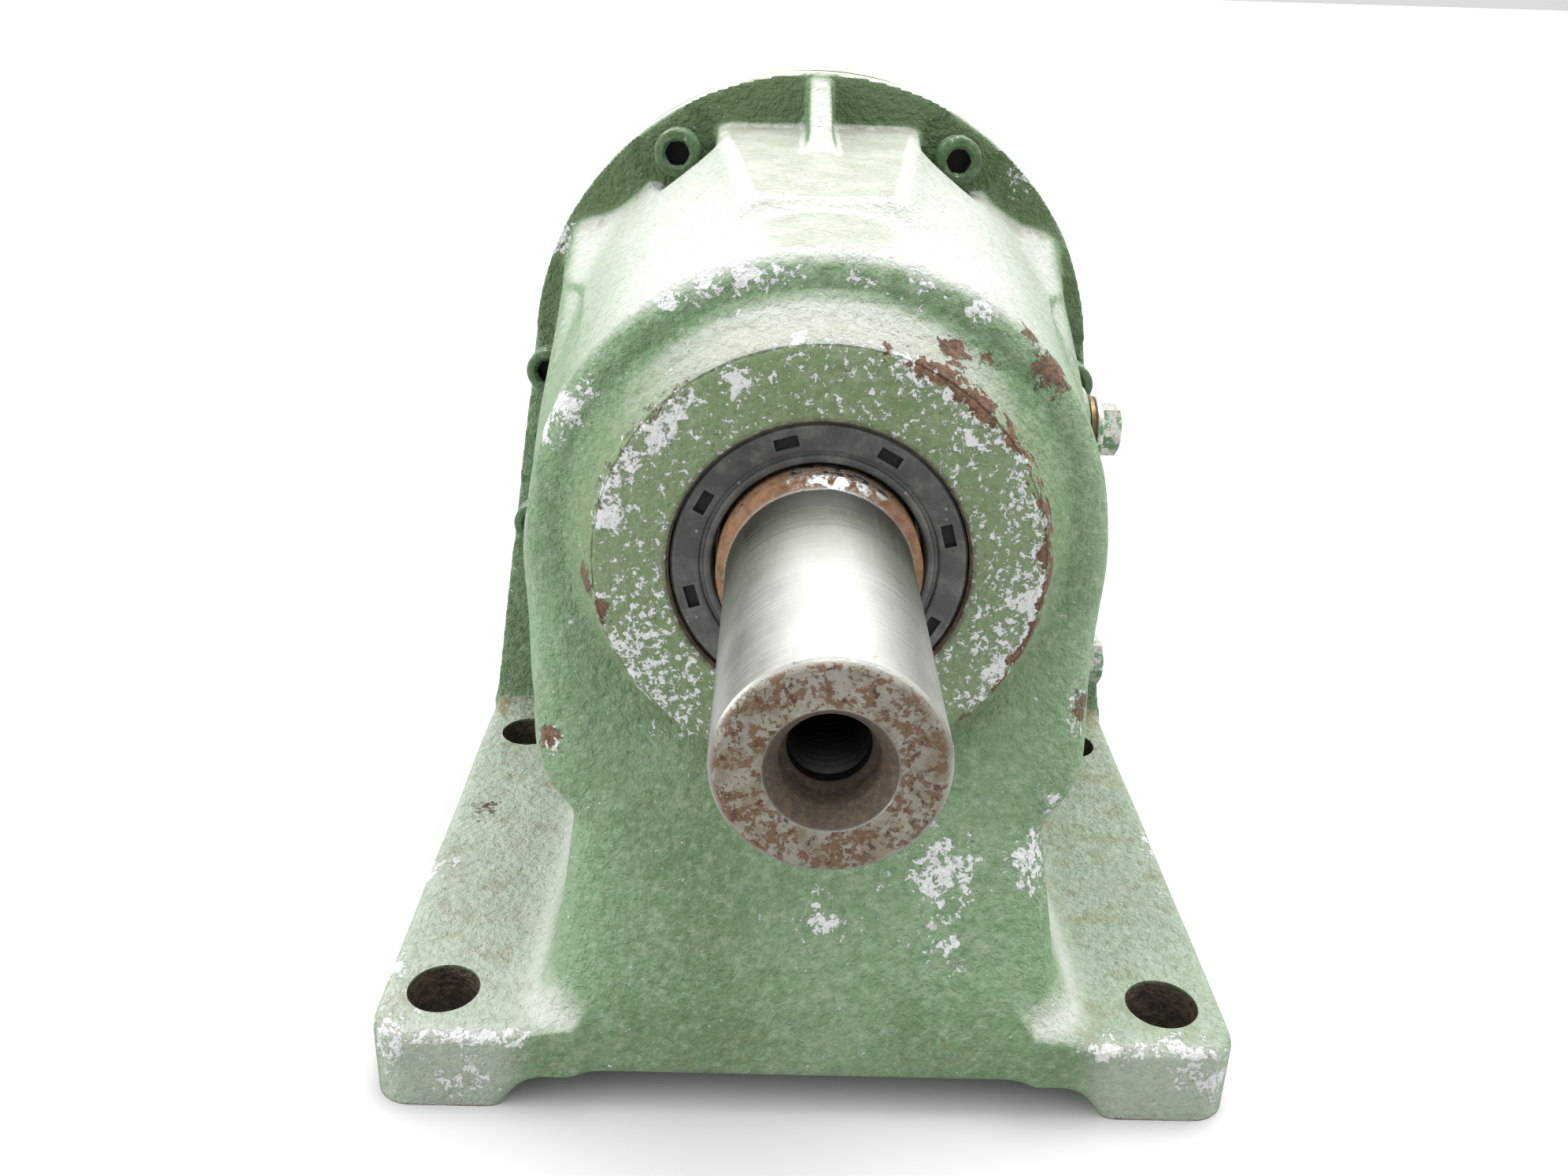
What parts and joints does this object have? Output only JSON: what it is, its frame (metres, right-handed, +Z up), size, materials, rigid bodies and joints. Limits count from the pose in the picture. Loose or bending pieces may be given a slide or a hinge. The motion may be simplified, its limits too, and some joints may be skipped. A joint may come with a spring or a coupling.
{
  "type": "inline gear reducer",
  "caption": "Foot-mounted coaxial gear reducer: cast case, keyed output shaft in front, keyed input shaft behind, gears and bearings inside.",
  "frame": {"origin": "middle of the footprint's box, on the plane that the foot stands on", "axes": "+Z up, the output shaft points to -Y and the input shaft to +Y, X runs across the foot"},
  "size_m": [0.2, 0.347, 0.2175],
  "materials": {
    "casting": "rough green paint on cast iron, worn",
    "steel": "machined, spotted with rust",
    "hardened": "ground",
    "blackened": "blackened spring steel",
    "screw": "painted over",
    "rubber": "moulded",
    "paper": "pressed fibre",
    "copper": "dull"
  },
  "bodies": {
    "housing": {"gear_case": "casting", "cover_gasket": "paper", "input_cover": "casting", "flange_screw_top_left": "screw", "flange_screw_top_right": "screw", "flange_screw_upper_left": "screw", "flange_screw_upper_right": "screw", "flange_screw_middle_left": "screw", "flange_screw_middle_right": "screw", "flange_screw_lower_left": "screw", "flange_screw_lower_right": "screw", "fill_plug": "steel", "fill_plug_washer": "copper", "drain_plug": "steel", "drain_plug_washer": "copper", "output_seal": "rubber", "output_front_bearing_outer_ring": "hardened", "output_rear_bearing_outer_ring": "hardened", "output_bearing_snap_ring": "blackened", "intermediate_front_bearing_outer_ring": "hardened", "intermediate_rear_bearing_outer_ring": "hardened", "input_front_bearing_outer_ring": "hardened", "input_rear_bearing_outer_ring": "hardened", "input_bearing_snap_ring": "blackened", "input_seal": "rubber"},
    "output": {"output_shaft": "steel", "output_key": "steel", "output_front_bearing_inner_ring": "hardened", "output_front_bearing_balls": "steel", "output_rear_bearing_inner_ring": "hardened", "output_rear_bearing_balls": "steel", "output_spacer": "steel", "output_gear": "hardened", "output_gear_key": "steel", "output_gear_snap_ring": "blackened"},
    "intermediate": {"intermediate_shaft": "hardened", "intermediate_gear": "hardened", "intermediate_gear_key": "steel", "intermediate_spacer": "steel", "intermediate_front_bearing_inner_ring": "hardened", "intermediate_front_bearing_balls": "steel", "intermediate_rear_bearing_inner_ring": "hardened", "intermediate_rear_bearing_balls": "steel"},
    "input": {"input_shaft": "steel", "input_key": "steel", "input_front_bearing_inner_ring": "hardened", "input_front_bearing_balls": "steel", "input_rear_bearing_inner_ring": "hardened", "input_rear_bearing_balls": "steel", "input_spacer": "steel", "input_shaft_snap_ring": "blackened"}
  },
  "joints": [
    {"name": "output_shaft_spin", "type": "hinge", "parent": "housing", "child": "output", "pos_m": [0, -0.1, 0.125], "axis": [0, 1, 0], "continuous": true},
    {"name": "intermediate_shaft_spin", "type": "hinge", "parent": "housing", "child": "intermediate", "pos_m": [0, 0, 0.0625], "axis": [0, 1, 0], "continuous": true},
    {"name": "input_shaft_spin", "type": "hinge", "parent": "housing", "child": "input", "pos_m": [0, 0.1, 0.125], "axis": [0, 1, 0], "continuous": true}
  ],
  "couplings": [
    {"joint": "intermediate_shaft_spin", "follows": "output_shaft_spin", "ratio": -3.1667},
    {"joint": "input_shaft_spin", "follows": "output_shaft_spin", "ratio": 6.7292}
  ]
}
